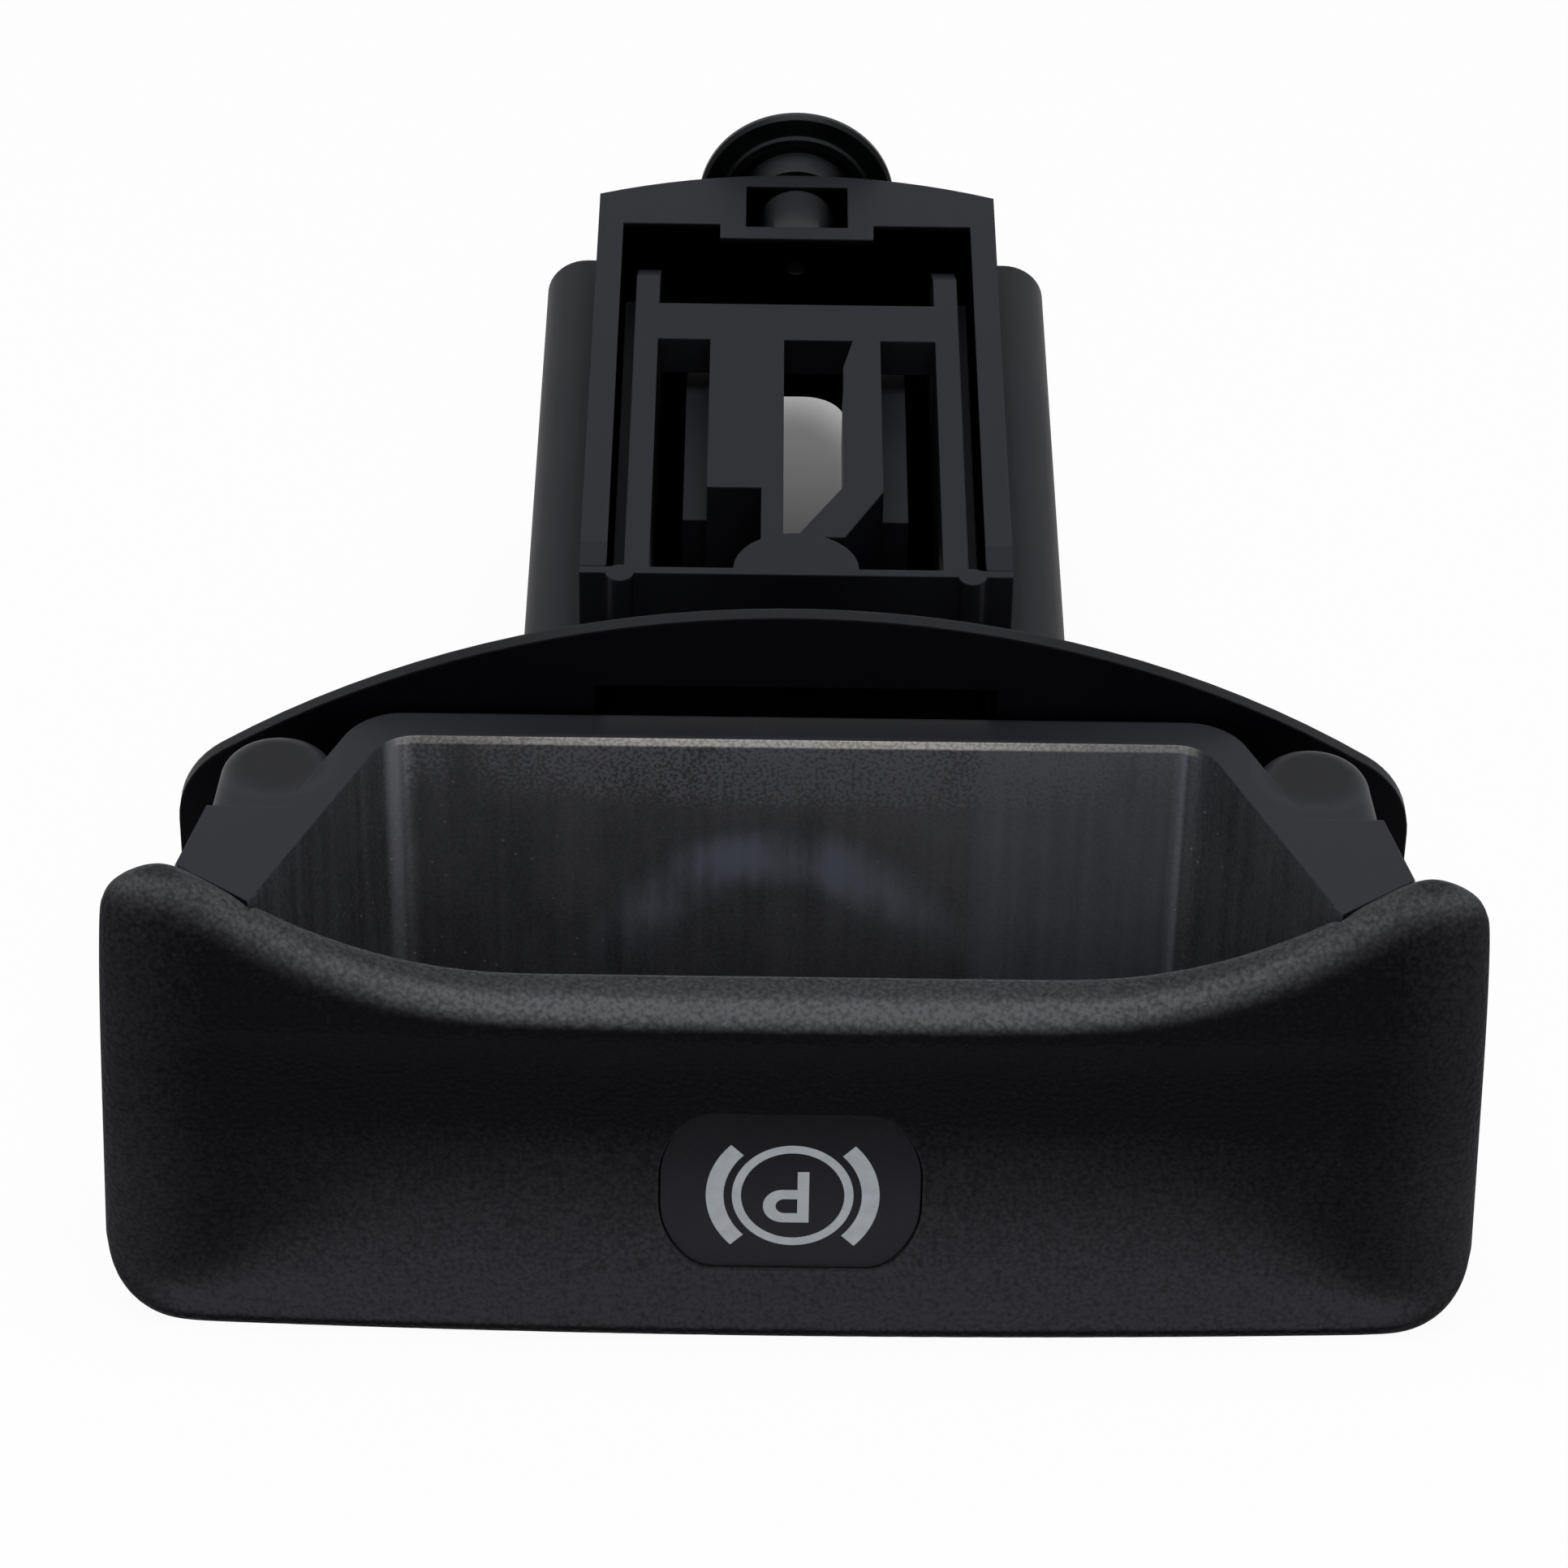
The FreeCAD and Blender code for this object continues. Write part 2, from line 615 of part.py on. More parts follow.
def build_cover():
    """The grip form, cleared of the shell that it wraps and of the symbol plate's seat."""
    gap = size("cover_gap")
    tool = start_body("cover_core")
    push_outline(tool, "core_frame", behind(-size("shell_front") - gap), behind(ZERO), frame_corners(gap))
    for name, sign in (("core_left", -1), ("core_right", 1)):
        raise_outline(tool, name, size("brow_height"), size("ear_height") + 5, nose_corners(sign, gap))
    feature = document.addObject("Part::Feature", "grip_cover")
    feature.Label = "grip_cover"
    feature.Shape = grip.cut(tool.Shape).cut(badge_recess.Shape)
    return feature


cover = build_cover()


# Slide carriage: the moulding that the cable hooks into, running in the guide

def widen_outline(body, name, left, right, corners):
    """Adds a side outline (Y, Z) between two X stations."""
    sketch = new_sketch(body, name + "_side", "YZ_Plane", left)
    draw_outline(sketch, corners)
    return add_feature(body, "Pad", name, sketch, right - left, False)


def raise_disc(body, name, across, along, radius, bottom, top):
    """Adds an upright round bar between two levels."""
    sketch = new_sketch(body, name + "_plan", "XY_Plane", bottom)
    draw_circle(sketch, across, along, radius)
    return add_feature(body, "Pad", name, sketch, top - bottom, False)


def build_rail(body, name, side, outer, low, high, dip):
    """One level of a rail on the side +1 or -1, its rear tip sloping down by dip."""
    inner = size("rail_outer") - size("rail_width")
    left, right = (inner, outer) if side > 0 else (-outer, -inner)
    front = behind(size("plate_lead"))
    tip = behind(size("rail_rear"))
    knee = tip - size("rail_slope")
    widen_outline(body, name, left, right,
                  [(front, low), (tip, low), (tip, high - dip), (knee, high), (front, high)])


def build_slide():
    body = start_body("slide_carriage")
    base = size("neck_base")
    top = size("slide_height")
    deck = top - size("bar_depth")
    plate_front = behind(size("plate_lead"))
    plate_back = plate_front + size("plate_thick")
    raise_disc(body, "dome", ZERO, plate_back, size("dome_radius"), deck, top)
    reach = size("dome_radius") + 1
    sink_outline(body, "dome_front", deck - 1, top + 1,
                 rectangle(-reach, reach, plate_back - reach, plate_back))
    step = size("sleeve_shoulder") + size("neck_gap") * 2
    runner = size("guide_half") - size("guide_wall") - size("neck_gap")
    wide = size("plate_half")
    push_outline(body, "plate", plate_front, plate_back,
                 mirrored([(runner, base), (runner, step), (wide, step), (wide, top)]))
    ledge = top - size("rail_step")
    for name, sign in (("left", -1), ("right", 1)):
        raise_disc(body, name + "_column", size("column_offset") * sign, plate_front,
                   size("column_radius"), step, top)
        build_rail(body, name + "_upper_rail", sign, size("rail_outer"), ledge - 1, top, size("rail_dip"))
        build_rail(body, name + "_lower_rail", sign, runner, base, ledge, ZERO)
    inner = size("rail_outer") - size("rail_width") * 0.9
    beam = behind(size("beam_front"))
    raise_outline(body, "beam", top - size("beam_depth"), top,
                  rectangle(-inner, inner, beam, beam + size("beam_width")))
    root = beam + size("beam_width") / 2
    heel = plate_back + size("dome_radius") * 0.4
    notch = behind(size("bar_notch"))
    bar = [(-size("bar_outer"), root), (-size("bar_outer"), notch), (-size("bar_neck"), notch),
           (-size("bar_neck"), heel), (-size("bar_inner"), heel), (-size("bar_inner"), root)]
    raise_outline(body, "left_bar", deck, top, bar)
    bend = behind(size("hook_bend"))
    toe = plate_back + size("dome_radius") * 0.9
    hook = [(size("hook_wide"), root), (size("hook_wide"), beam),
            (size("hook_inner"), beam - size("hook_taper")),
            (size("hook_inner"), bend + size("hook_offset")), (ZERO, toe), (size("hook_inner"), toe),
            (size("hook_outer"), bend), (size("hook_outer"), root)]
    raise_outline(body, "cable_hook", deck, top, hook)
    web_top = top - size("web_depth")
    web_inner = size("bar_outer") - size("web_width") / 4
    web_outer = size("bar_outer") + size("web_width")
    front = behind(size("web_front"))
    back = behind(size("web_rear"))
    raise_outline(body, "left_web", base, web_top, rectangle(-web_outer, -web_inner, front, back))
    raise_outline(body, "right_web", base, web_top, rectangle(web_inner, web_outer, front, back))
    strip = plate_back + size("strip_width")
    raise_outline(body, "front_web", base, web_top,
                  rectangle(-web_outer, web_outer, strip, strip + size("strip_width")))
    inset = size("neck_wall") + size("neck_gap")
    reach = size("neck_half") - inset
    push_outline(body, "tongue", plate_front - size("tongue_length"), plate_front,
                 rectangle(-reach, reach, base + inset, size("neck_top") - inset))
    return body


slide = build_slide()


# Guide housing: dash flange, sleeve and open guide in one moulding

BLOCK_FRONT = behind(size("guide_rear") - size("rear_wall") - size("block_depth"))
WINDOW_FRONT = BLOCK_FRONT + size("window_front")


def drill(body, name, front, back, level, radius):
    """Cuts a round hole along Y at X = 0 between two stations."""
    sketch = new_sketch(body, name + "_front", "XZ_Plane", -front)
    draw_circle(sketch, ZERO, level, radius)
    return add_feature(body, "Pocket", name, sketch, back - front, False)


def build_housing():
    body = start_body("guide_housing")
    back = behind(size("flange_thick"))
    base = size("sleeve_base")
    high = size("guide_height")
    floor = size("neck_base") - size("neck_gap")
    wide = size("flange_half")
    bow = size("flange_arc")
    end = size("flange_height") - bow + (bow * bow - wide * wide).root()
    flange = push_outline(body, "flange", behind(ZERO), back,
                          [(wide, ZERO), (wide, end, bow), (-wide, end), (-wide, ZERO)])
    round_edges(body, "flange_corners", flange, size("flange_corner"), lambda middle, ends:
                is_fore_and_aft(ends) and near(abs(middle.x), wide))
    rear = behind(size("guide_rear"))
    broad = size("sleeve_half")
    shoulder = size("sleeve_shoulder")
    sleeve = push_outline(body, "sleeve", back, rear, rectangle(-broad, broad, base, shoulder))
    round_edges(body, "sleeve_shoulders", sleeve, size("sleeve_round"), lambda middle, ends:
                is_fore_and_aft(ends) and near(abs(middle.x), broad) and near(middle.z, shoulder))
    front = behind(size("guide_front"))
    half = size("guide_half")
    bulge = size("guide_bulge")
    rear_bow = half * half / bulge / 2 + bulge / 2
    raise_outline(body, "rims", base, high,
                  [(half, front), (half, rear, rear_bow), (-half, rear), (-half, front)])
    inner = half - size("guide_wall")
    wall = rear - size("rear_wall")
    sink_outline(body, "channel", floor, high + 1, rectangle(-inner, inner, back, wall))
    slot = size("neck_half") + size("neck_gap")
    bore_outline(body, "flange_slot", behind(ZERO), back, rectangle(-slot, slot, floor, size("slot_top")))
    block = size("block_half")
    axis = size("sheath_height")
    raise_outline(body, "rear_block", axis - size("sheath_radius") - size("block_skirt"), high,
                  rectangle(-block, block, BLOCK_FRONT, wall + 1))
    narrow = size("window_half")
    sink_outline(body, "sheath_window", high - size("window_depth"), high,
                 rectangle(-narrow, narrow, WINDOW_FRONT, WINDOW_FRONT + size("window_length")))
    drill(body, "sheath_seat", WINDOW_FRONT, rear + bulge, axis, size("sheath_radius") + size("collar_gap"))
    drill(body, "wire_hole", BLOCK_FRONT, WINDOW_FRONT, axis, size("sheath_bore") + size("wire_gap"))
    drain = size("drain_half")
    opening = sink_outline(body, "floor_opening", base, floor,
                           rectangle(-drain, drain, behind(size("drain_front")), behind(size("drain_rear"))))
    round_edges(body, "opening_corners", opening, size("drain_corner"), lambda middle, ends:
                is_upright(ends) and near(abs(middle.x), drain) and middle.z < floor.value)
    outer = broad - size("sleeve_wall")
    chamber_front = back + size("sleeve_wall")
    chamber_rear = rear - size("sleeve_wall")
    for name, left, right in (("left_chamber", -outer, -half), ("right_chamber", half, outer)):
        sink_outline(body, name, base, size("chamber_top"),
                     rectangle(left, right, chamber_front, chamber_rear))
    slant = front + size("guide_chamfer")
    sketch = new_sketch(body, "rim_ends_side", "YZ_Plane", -half)
    draw_outline(sketch, [(front - 1, high - size("guide_dip")), (front, high - size("guide_dip")),
                          (slant, high), (slant, high + 1), (front - 1, high + 1)])
    add_feature(body, "Pocket", "rim_ends", sketch, half * 2, True)
    return body


housing = build_housing()


# Cable collar: the turned end of the cable's sheath, seated in the guide's rear wall

def build_collar():
    body = start_body("cable_collar")
    front = WINDOW_FRONT + size("wire_gap")
    wall = behind(size("guide_rear")) + size("guide_bulge") + size("collar_gap")
    end = behind(size("collar_reach"))
    disc = end - size("disc_thick")
    bore = size("sheath_bore")
    barrel = size("sheath_radius")
    rim = size("disc_radius")
    edge = size("disc_edge")
    ring = size("step_radius")
    crest = disc - size("step_rise")
    broad = ring + size("step_width")
    profile = [(front, bore), (end, bore), (end, rim - edge), (end - edge, rim), (disc + edge, rim),
               (disc, rim - edge), (disc, broad), (crest, broad), (crest, ring), (disc, ring),
               (disc, size("cone_tip")), (wall, size("cone_base")), (wall, barrel), (front, barrel)]
    sketch = new_sketch(body, "collar_profile", "YZ_Plane", ZERO)
    draw_outline(sketch, profile)
    turned = body.newObject("PartDesign::Revolution", "turned")
    turned.Profile = sketch
    turned.ReferenceAxis = (sketch, ["H_Axis"])
    turned.Angle = 360
    body.setExpression("Placement.Base.z", size("sheath_height").text)
    return body


collar = build_collar()

document.recompute()
nodes = (cover, badge, shell, slide, housing, collar)
failed = [part.Name for part in document.Objects if "Invalid" in part.State or "Error" in part.State]
failed += [node.Label for node in nodes if node.Shape.isNull() or not node.Shape.isValid()]
if failed:
    raise RuntimeError("not built: " + ", ".join(failed))
os.makedirs("parts", exist_ok=True)
for node in nodes:
    node.Shape.exportStep("parts/%s.step" % node.Label)
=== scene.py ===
import math

import bpy
import numpy as np
from mathutils import Matrix, Vector


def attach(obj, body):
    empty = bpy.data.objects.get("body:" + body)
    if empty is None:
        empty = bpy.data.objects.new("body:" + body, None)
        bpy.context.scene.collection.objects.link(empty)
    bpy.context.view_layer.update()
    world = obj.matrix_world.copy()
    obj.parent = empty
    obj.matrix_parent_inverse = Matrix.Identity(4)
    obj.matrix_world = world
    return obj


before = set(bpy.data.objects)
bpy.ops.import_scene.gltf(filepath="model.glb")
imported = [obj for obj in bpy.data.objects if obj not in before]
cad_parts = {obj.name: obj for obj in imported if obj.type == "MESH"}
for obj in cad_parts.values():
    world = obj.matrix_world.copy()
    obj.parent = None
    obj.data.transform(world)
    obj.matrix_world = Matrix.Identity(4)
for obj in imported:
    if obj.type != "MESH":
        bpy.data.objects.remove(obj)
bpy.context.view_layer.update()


# Guide housing: the fixed half of the handle, one moulding in semi-gloss black plastic.
# Its flange sits against the dashboard and its sleeve carries the slide. It is the first
# piece, so the way every finish is put together is set out here.

class Wire:
    """A socket of a finish. Sums with wires and numbers add the Math node that works them out."""

    def __init__(self, tree, socket=None):
        self.tree = tree
        self.socket = socket

    def node(self, kind, settings=None, inputs=None, output=None):
        """A new node of that kind: its settings first, then its sockets, by name or place."""
        made = self.tree.nodes.new("ShaderNode" + kind)
        for name, value in (settings or {}).items():
            setattr(made, name, value)
        usable = [socket for socket in made.inputs if socket.enabled]
        for name, value in (inputs or {}).items():
            if isinstance(name, int):
                target = usable[name]
            else:
                target = next(socket for socket in usable if socket.name == name)
            if isinstance(value, Wire):
                self.tree.links.new(value.socket, target)
            else:
                target.default_value = value
        outputs = [socket for socket in made.outputs if socket.enabled]
        chosen = outputs[0]
        if output:
            chosen = next(socket for socket in outputs if socket.name == output)
        return Wire(self.tree, chosen)

    def math(self, operation, first, second):
        return self.node("Math", {"operation": operation}, {0: first, 1: second})

    def __add__(self, other):
        return self.math("ADD", self, other)

    __radd__ = __add__

    def __mul__(self, other):
        return self.math("MULTIPLY", self, other)

    __rmul__ = __mul__

    def __sub__(self, other):
        return self.math("SUBTRACT", self, other)

    def __rsub__(self, other):
        return self.math("SUBTRACT", other, self)

    def __pow__(self, other):
        return self.math("POWER", self, other)

    def size(self):
        """This wire without its sign."""
        return self.node("Math", {"operation": "ABSOLUTE"}, {0: self})

    def either(self, other):
        """The higher of this wire and the other: where both are masks, 1 where either is."""
        return self.math("MAXIMUM", self, other)

    def between(self, low, high):
        """0 where this wire is at low or under it, 1 at high or over it, a soft ramp between."""
        settings = {"data_type": "FLOAT", "interpolation_type": "SMOOTHSTEP", "clamp": True}
        inputs = {"Value": self, "From Min": low, "From Max": high}
        return self.node("MapRange", settings, inputs)

    def tint(self, dark, light):
        """The colour dark where this wire is 0 and light where it is 1."""
        settings = {"data_type": "RGBA", "blend_type": "MIX"}
        return self.node("Mix", settings, {"Factor": self, "A": dark, "B": light})


def ink(red, green, blue):
    """Screen values from 0 to 255 as the linear colour that a shader takes."""
    part = np.array([red, green, blue]) / 255
    linear = np.where(part > 0.04045, ((part + 0.055) / 1.055) ** 2.4, part / 12.92)
    return (*linear.tolist(), 1.0)


class Plastic:
    """A moulded plastic finish: its wires to grow from, and what every one of them shares.
    In most finishes the tone also follows where a face points or lies. That is matched to the
    photograph and stands in for part of its light."""

    def __init__(self, name, specular):
        self.material = bpy.data.materials.new(name)
        self.material.use_nodes = True
        self.tree = self.material.node_tree
        self.shader = self.tree.nodes["Principled BSDF"]
        self.shader.inputs["Specular IOR Level"].default_value = specular
        self.shader.inputs["IOR"].default_value = 1.46
        self.root = Wire(self.tree)
        self.place = self.root.node("TexCoord", output="Object")
        self.facing = self.root.node("NewGeometry", output="Normal")

    def parts(self, vector):
        """The three numbers of a vector, as wires."""
        split = self.root.node("SeparateXYZ", inputs={"Vector": vector})
        sockets = split.socket.node.outputs
        return [Wire(self.tree, socket) for socket in sockets]

    def noise(self, scale, detail=3.0, stretch=(1.0, 1.0, 1.0)):
        """Cloudy noise in metres, from 0 to 1, drawn out by stretch along each axis."""
        spread = self.root.node("Mapping", inputs={"Vector": self.place, "Scale": stretch})
        inputs = {"Vector": spread, "Scale": scale, "Detail": detail}
        return self.root.node("TexNoise", inputs=inputs)

    def cells(self, scale):
        """Distance to the nearest of scattered points, as a share of their spacing."""
        inputs = {"Vector": self.place, "Scale": scale}
        return self.root.node("TexVoronoi", {"feature": "F1"}, inputs)

    def specks(self, scale, size):
        """1 on sparse round specks of dust, 0 between them."""
        return 1 - self.cells(scale).between(size * 0.6, size)

    def rounded(self, radius):
        """The surface's direction, as if its edges were rounded by that radius."""
        return self.root.node("Bevel", {"samples": 4}, {"Radius": radius})

    def edge_wear_and_highlight(self, radius):
        """1 along the edges, 0 on the flats: how far rounding the edge turns it. Colours
        lightened by it paint both edge wear and an edge highlight.
        """
        settings = {"operation": "DOT_PRODUCT"}
        inputs = {0: self.rounded(radius), 1: self.facing}
        straight = self.root.node("VectorMath", settings, inputs, "Value")
        return (1 - straight).between(0.02, 0.25)

    def turned_away(self):
        """1 on faces that look outwards from the middle, backwards or down. The photograph
        doesn't show them, so their even dark grey is a guess."""
        aside, ahead, up = self.parts(self.facing)
        across, _, _ = self.parts(self.place)
        outward = (aside * across).between(0.005, 0.012)
        return outward.either(ahead.between(0.3, 0.8)).either(1 - up.between(-0.8, -0.3))

    def paint_slot_shade(self, share):
        """Makes the finish a dull black where share is 1: painted shade, standing in for the
        shadow that fills deep slots.
        The black moves with its piece, so it also shows where a pulled handle bares it."""
        black = self.root.node("BsdfDiffuse", inputs={"Color": (0.0004, 0.0004, 0.0006, 1)})
        plain = Wire(self.tree, self.shader.outputs["BSDF"])
        either = self.root.node("MixShader", inputs={0: share, 1: plain, 2: black})
        self.tree.links.new(either.socket, self.tree.nodes["Material Output"].inputs["Surface"])

    def finish(self, colour, roughness, height, depth, softened):
        """Links the colour, the roughness and the grain's height to the shader."""
        links = self.tree.links
        links.new(colour.socket, self.shader.inputs["Base Color"])
        links.new(roughness.socket, self.shader.inputs["Roughness"])
        inputs = {"Strength": 1.0, "Distance": depth, "Height": height}
        inputs["Normal"] = self.rounded(softened)
        bump = self.root.node("Bump", inputs=inputs)
        links.new(bump.socket, self.shader.inputs["Normal"])
        return self.material


def dress(node, material):
    """Gives the CAD node this finish."""
    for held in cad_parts[node].material_slots:
        held.material = material


# Where its bay, its slot and the ledge inside are painted black as shade, and where the flange's
# front begins and its top band is painted darker as shade towards its ends: in metres, as (from,
# to).
bay_side, bay_top, bay_front = (0.01432, 0.01445), (0.0384, 0.0388), (-0.0219, -0.0215)
slot_side, slot_foot = (0.0146, 0.0149), (0.0250, 0.0253)
slot_top, slot_back = (0.0386, 0.0388), (-0.0222, -0.0219)
ledge_side, ledge_back = (0.0152, 0.0155), (-0.0135, -0.0130)
ledge_foot, ledge_top = (0.0320, 0.0323), (0.0327, 0.0330)
flange_back, flange_ends = (-0.0217, -0.0213), (0.012, 0.040)

housing = Plastic("housing_black", 0.07)
_, _, up = housing.parts(housing.facing)
across, along, level = housing.parts(housing.place)
outer = across.size()
haze = housing.noise(55, 4)
strokes = housing.noise(900, 2, (1.0, 0.03, 1.0))
edge = housing.edge_wear_and_highlight(0.0004)
# Painted shade: the bay, the slot and the ledge inside are painted dull black, where shadow fills
# them.
bay = (1 - level.between(*bay_top)) * (1 - outer.between(*bay_side))
bay = bay * along.between(*bay_front)
slot = (1 - outer.between(*slot_side)) * (1 - level.between(*slot_top))
slot = slot * level.between(*slot_foot) * (1 - along.between(*slot_back))
ledge = (1 - outer.between(*ledge_side)) * (1 - along.between(*ledge_back))
ledge = ledge * level.between(*ledge_foot) * (1 - level.between(*ledge_top))
hidden = housing.turned_away()
housing.paint_slot_shade(bay.either(slot).either(ledge) * (1 - hidden))
# Painted light: faces that look up are painted lighter than the fronts, the flange's top band
# darker towards its ends as shade, and edges lighter as both wear and highlight.
rim = (1 - along.between(*flange_back)) * (0.4 + outer.between(*flange_ends) * 0.5)
shade = up.between(0.2, 1.0) * 0.8 * (1 - rim) + (haze - 0.5) * 0.14 + edge * 0.35
shade = shade.either(hidden * (0.35 + haze * 0.25))
housing_colour = shade.tint(ink(2, 2, 5), ink(42, 43, 47))
housing_gloss = 0.36 + haze * 0.16 + strokes * 0.08
housing_skin = strokes * 0.5 + haze
dress("guide_housing",
      housing.finish(housing_colour, housing_gloss, housing_skin, 0.00002, 0.00025))


# Cable collar: the round nozzle that the release cable's sheath ends in, taken to be pressed
# through the guide's rear wall. Glossy plastic, so its disc mirrors what stands round it.
collar = Plastic("collar_gloss", 0.12)
_, ahead, up = collar.parts(collar.facing)
cloud = collar.noise(260, 3)
ring_wear_and_highlight = collar.edge_wear_and_highlight(0.0003)
# Painted light: faces that look up are painted lighter than the fronts, and the ring's edge
# lighter as both wear and highlight.
shade = up.between(0.4, 1.0) * 0.75 + cloud * 0.05 + ring_wear_and_highlight * 0.2
shade = shade.either(ahead.between(0.3, 0.8) * (0.35 + cloud * 0.25))
collar_colour = shade.tint(ink(3, 4, 5), ink(48, 50, 53))
collar_gloss = 0.16 + cloud * 0.14
dress("cable_collar", collar.finish(collar_colour, collar_gloss, cloud, 0.00001, 0.00015))


# Slide carriage: the moving ladder frame behind the pocket, satin black plastic with ribs.
# It rides in the guide and pulls the cable, and fine marks along the stroke are guessed.

# Where its rear end is painted darker as shade and where its front end is painted black as shade,
# in metres.
slide_rear, slide_front = (0.0325, 0.0385), (-0.0192, -0.0186)

slide = Plastic("slide_satin", 0.09)
_, ahead, up = slide.parts(slide.facing)
across, along, _ = slide.parts(slide.place)
cloud = slide.noise(120, 4)
strokes = slide.noise(1400, 2, (1.0, 0.02, 1.0))
edge = slide.edge_wear_and_highlight(0.00035)
# Painted light: faces that look up are painted lighter and darker towards the rear end as shade,
# edges lighter as both wear and highlight, and the front faces lighter away from the middle as a
# painted reflection.
shade = up.between(0.15, 1.0) * (0.85 - along.between(*slide_rear) * 0.4)
shade = shade + (cloud - 0.5) * 0.16 + edge * 0.45 + strokes.between(0.6, 0.8) * 0.06
shade = shade + (1 - ahead.between(-0.9, -0.5)) * across.size().between(0.002, 0.009) * 0.3
# Painted shade: the front end is painted black.
slide.paint_slot_shade(1 - along.between(*slide_front))
slide_colour = shade.tint(ink(9, 10, 14), ink(35, 36, 40))
slide_gloss = 0.42 + cloud * 0.15
dress("slide_carriage", slide.finish(slide_colour, slide_gloss, strokes, 0.000015, 0.0002))


# Pocket shell: the finger scoop and the frame round it, one smooth satin moulding. Its rear wall
# is painted lighter as if lit, with a painted reflection in a hazy arc, drags down it and a pale
# upper edge.

# The marks on the rear wall, in metres: the middle, reach across and reach up of the painted
# reflection's arc, the rubbed patch under the edge, the pale line on the edge, and the side that
# is painted lighter as a reflection. Then where the wall's front ends, the neck painted black as
# shade and the rim behind painted darker as shade begin, and each post.
arc_middle_x, arc_middle_z = -0.0005, 0.0130
arc_wide, arc_tall = 0.0130, 0.0120
arc_bright_x = -0.0045
patch_middle_x, patch_rise, patch_fade = 0.0015, (0.0295, 0.0350), (0.009, 0.024)
line_rise, line_fade, line_front = (0.03568, 0.03592), (0.010, 0.026), (-0.0266, -0.0264)
side_reflection_edge = (0.0128, 0.0142)
wall_front, neck_front, rim_back = (-0.02695, -0.02665), (-0.0243, -0.0238), (-0.0268, -0.0262)
post_middle_x, post_middle_y, post_edge = 0.0375, -0.0300, (0.0044, 0.0047)

pocket = Plastic("pocket_satin", 0.11)
aside, ahead, up = pocket.parts(pocket.facing)
across, along, level = pocket.parts(pocket.place)
cloud = pocket.noise(90, 4)
drags = pocket.noise(900, 3, (1.0, 1.0, 0.03))
grit = pocket.noise(3400, 2)
blotch = pocket.noise(240, 4, (1.0, 1.0, 0.5))
dust = pocket.specks(800, 0.11) * pocket.noise(60, 2).between(0.52, 0.7)
edge = pocket.edge_wear_and_highlight(0.00035)
outer = across.size()
inward = 1 - (aside * across).between(0.002, 0.008)
inside = (1 - along.between(*wall_front)) * (1 - up.between(0.3, 0.6)) * inward
rear_wall = 1 - ahead.between(-0.97, -0.93)
# Painted highlight: lighter bands down the rear wall's rounded corners, weaker on one side and
# low down.
corner = (1 - ahead.between(-0.86, -0.62)) * ahead.between(-0.99, -0.88)
corner = corner * (1 - across.between(-0.01, 0.02) * 0.75)
corner = corner * (0.35 + level.between(0.014, 0.035) * 0.65)
# Painted reflection: a hazy arc across the rear wall, brightest a little to one side of the
# middle.
out_x = (across - arc_middle_x) * (1 / arc_wide)
out_z = (level - arc_middle_z) * (1 / arc_tall)
reach = (out_x * out_x + out_z * out_z) ** 0.5 + (cloud - 0.5) * 0.4
arc_reflection = reach.between(0.72, 1.0) * (1 - reach.between(1.0, 1.3)) * out_z.between(0.05, 0.8)
arc_reflection = arc_reflection * (1 - (across - arc_bright_x).size().between(0.003, 0.018) * 0.8)
arc_reflection = arc_reflection * (0.35 + blotch.between(0.3, 0.7) * 0.9 + (drags - 0.5) * 1.3)
rubbed = 1 - (across - patch_middle_x).size().between(*patch_fade) * 0.75
rubbed = level.between(*patch_rise) * rubbed
rubbed = rubbed * grit.between(0.42, 0.62) * blotch.between(0.25, 0.65)
# A pale line along the rear wall's upper edge, fading towards the sides.
pale_edge_line = level.between(*line_rise) * (0.6 + grit.between(0.4, 0.6) * 0.4)
pale_edge_line = pale_edge_line * (1 - outer.between(*line_fade) * 0.6)
pale_edge_line = pale_edge_line * (1 - ahead.between(-0.95, -0.8)) * (1 - along.between(*line_front))
# Painted reflection: one side of the rear wall is painted lighter and bluish.
side_reflection = across.between(*side_reflection_edge) * (0.6 + drags * 0.6)
# Painted light: the rear wall is painted lighter higher up and towards one side, as light falls
# on it, on top of the real rubbed patch, drags, grit and dust.
wall = 0.34 + level.between(0.012, 0.034) * 0.2 + across.between(-0.008, 0.018) * 0.14
wall = wall + side_reflection * 0.16 + arc_reflection * 0.6 + rubbed * 2.3 + (blotch - 0.5) * 0.35
wall_marks_and_sheen = 0.21 + rear_wall * (wall - 0.21) + corner * 0.8
wall_marks_and_sheen = wall_marks_and_sheen + (drags - 0.5) * 0.3 + (cloud - 0.5) * 0.3 + (grit - 0.5) * 0.4 + dust * 0.9
# Painted shade: the rim behind the wall is painted darker in its middle, and the post tops darker
# inside a painted highlight along their rims, strongest towards the back.
behind = along.between(*rim_back) * (1 - outer.between(0.012, 0.03))
post_x = outer - post_middle_x
post_y = along - post_middle_y
post_rim = (post_x * post_x + post_y * post_y) ** 0.5
on_post = (1 - post_rim.between(*post_edge)) * along.between(-0.0345, -0.0335)
post_and_rim_shade = behind * 0.4 + on_post * (1 - post_rim.between(0.0022, 0.0041)) * 0.4
post_highlight = on_post * post_rim.between(0.0034, 0.0041)
post_highlight = post_highlight * (0.2 + post_y.between(-0.001, 0.003) * 0.6)
